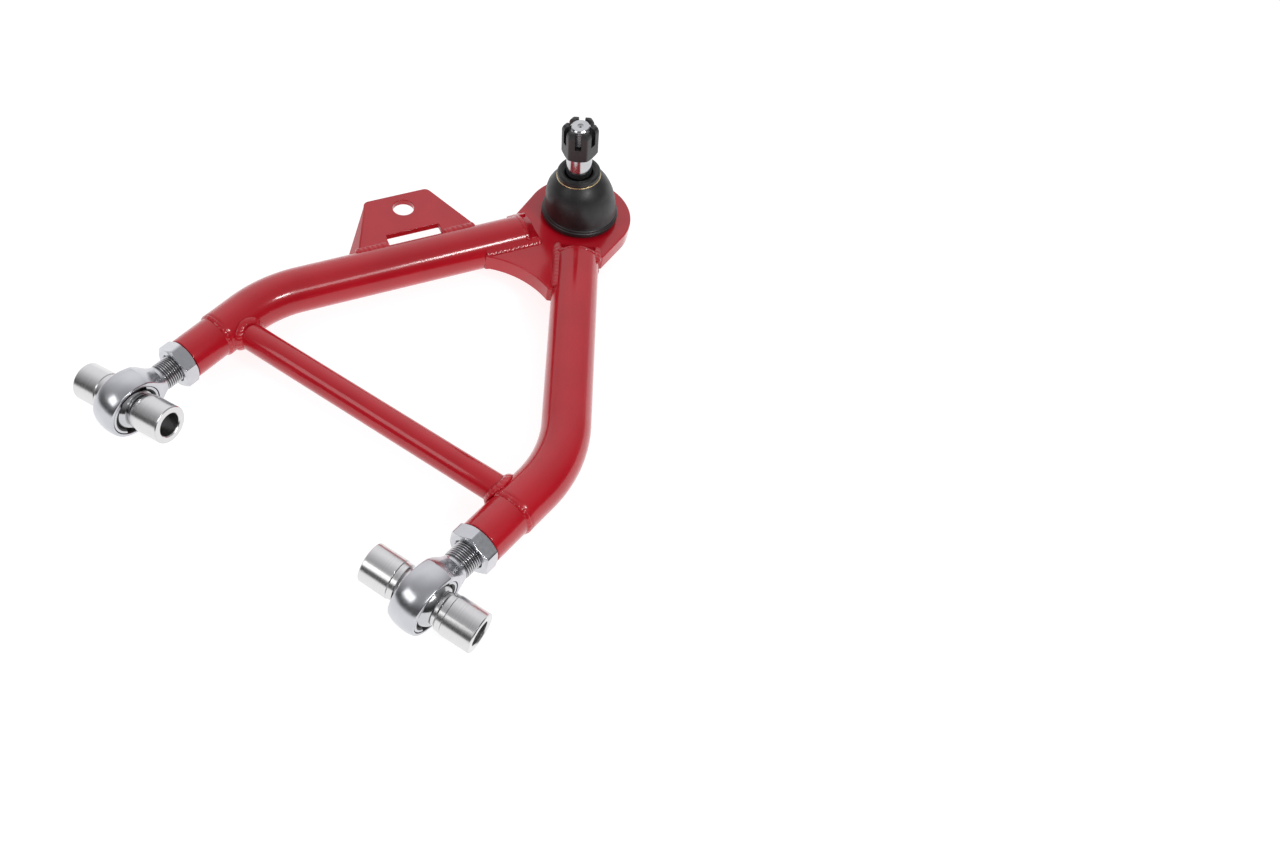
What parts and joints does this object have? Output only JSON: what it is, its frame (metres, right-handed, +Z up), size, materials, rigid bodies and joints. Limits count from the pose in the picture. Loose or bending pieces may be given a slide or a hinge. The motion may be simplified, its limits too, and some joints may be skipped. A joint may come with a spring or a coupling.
{
  "type": "adjustable tubular control arm",
  "caption": "Tubular suspension control arm with rod ends at its inner pivots, a cross brace, a link bracket and a ball joint with boot and castle nut.",
  "frame": {"origin": "centre of the bounding box on the floor the arm lies on", "axes": "+X outboard from the inner pivots to the ball joint, +Y from pivot A to pivot B along the vehicle, +Z up along the ball stud side"},
  "size_m": [0.3768, 0.3126, 0.112],
  "materials": {
    "red_powder_coat": "gloss powder coat",
    "polished_steel": "polished steel",
    "zinc_plate": "bright zinc plate",
    "machined_aluminium": "turned, fine lathe marks",
    "black_steel": "black oxide",
    "boot_rubber": "smooth moulded rubber",
    "gold_wire": "bright wire",
    "bearing_polymer": "moulded polymer"
  },
  "bodies": {
    "arm": {"leg_tube_a": "red_powder_coat", "leg_tube_b": "red_powder_coat", "cross_brace": "red_powder_coat", "ball_joint_plate": "red_powder_coat", "link_bracket": "red_powder_coat", "adapter_a": "red_powder_coat", "adapter_b": "red_powder_coat", "ball_joint_housing": "black_steel", "ball_joint_bearing": "bearing_polymer", "ball_joint_cover": "black_steel", "ball_joint_boot": "boot_rubber"},
    "rod_end_a": {"rod_end_a_body": "polished_steel", "rod_end_a_race": "polished_steel"},
    "jam_nut_a": {"jam_nut_a": "zinc_plate"},
    "swivel_a": {"swivel_ball_a": "polished_steel"},
    "pivot_a": {"spacer_a_front": "machined_aluminium", "spacer_a_rear": "machined_aluminium"},
    "rod_end_b": {"rod_end_b_body": "polished_steel", "rod_end_b_race": "polished_steel"},
    "jam_nut_b": {"jam_nut_b": "zinc_plate"},
    "swivel_b": {"swivel_ball_b": "polished_steel"},
    "pivot_b": {"spacer_b_front": "machined_aluminium", "spacer_b_rear": "machined_aluminium"},
    "ball_stud": {"ball_stud": "polished_steel", "boot_wire_ring": "gold_wire"},
    "castle_nut": {"castle_nut": "black_steel"}
  },
  "joints": [
    {"name": "rod_end_a_adjust", "type": "slide", "parent": "arm", "child": "rod_end_a", "axis": [-0.9917, 0.1288, 0], "range_m": [-0.008, 0.005]},
    {"name": "jam_nut_a_turn", "type": "hinge", "parent": "arm", "child": "jam_nut_a", "pos_m": [-0.16577, -0.11766, 0.02223], "axis": [0.9917, -0.1288, 0], "continuous": true},
    {"name": "swivel_a_yaw", "type": "hinge", "parent": "rod_end_a", "child": "swivel_a", "pos_m": [-0.16577, -0.11766, 0.02223], "axis": [0, 0, 1], "range_deg": [-28, 12]},
    {"name": "pivot_a_spin", "type": "hinge", "parent": "swivel_a", "child": "pivot_a", "pos_m": [-0.16577, -0.11766, 0.02223], "axis": [0, -1, 0], "continuous": true},
    {"name": "rod_end_b_adjust", "type": "slide", "parent": "arm", "child": "rod_end_b", "axis": [-0.993, 0.1184, 0], "range_m": [-0.008, 0.005]},
    {"name": "jam_nut_b_turn", "type": "hinge", "parent": "arm", "child": "jam_nut_b", "pos_m": [-0.16577, 0.11614, 0.02223], "axis": [0.993, -0.1184, 0], "continuous": true},
    {"name": "swivel_b_yaw", "type": "hinge", "parent": "rod_end_b", "child": "swivel_b", "pos_m": [-0.16577, 0.11614, 0.02223], "axis": [0, 0, 1], "range_deg": [-25, 11]},
    {"name": "pivot_b_spin", "type": "hinge", "parent": "swivel_b", "child": "pivot_b", "pos_m": [-0.16577, 0.11614, 0.02223], "axis": [0, -0.9863, 0.165], "continuous": true},
    {"name": "ball_stud_swing", "type": "hinge", "parent": "arm", "child": "ball_stud", "pos_m": [0.15083, -0.03306, 0.017], "axis": [0, 1, 0], "range_deg": [-16, 22], "deforming": ["ball_joint_boot"]},
    {"name": "castle_nut_turn", "type": "hinge", "parent": "ball_stud", "child": "castle_nut", "pos_m": [0.15083, -0.03306, 0.017], "axis": [-0.0594, 0.0818, 0.9949], "continuous": true}
  ]
}
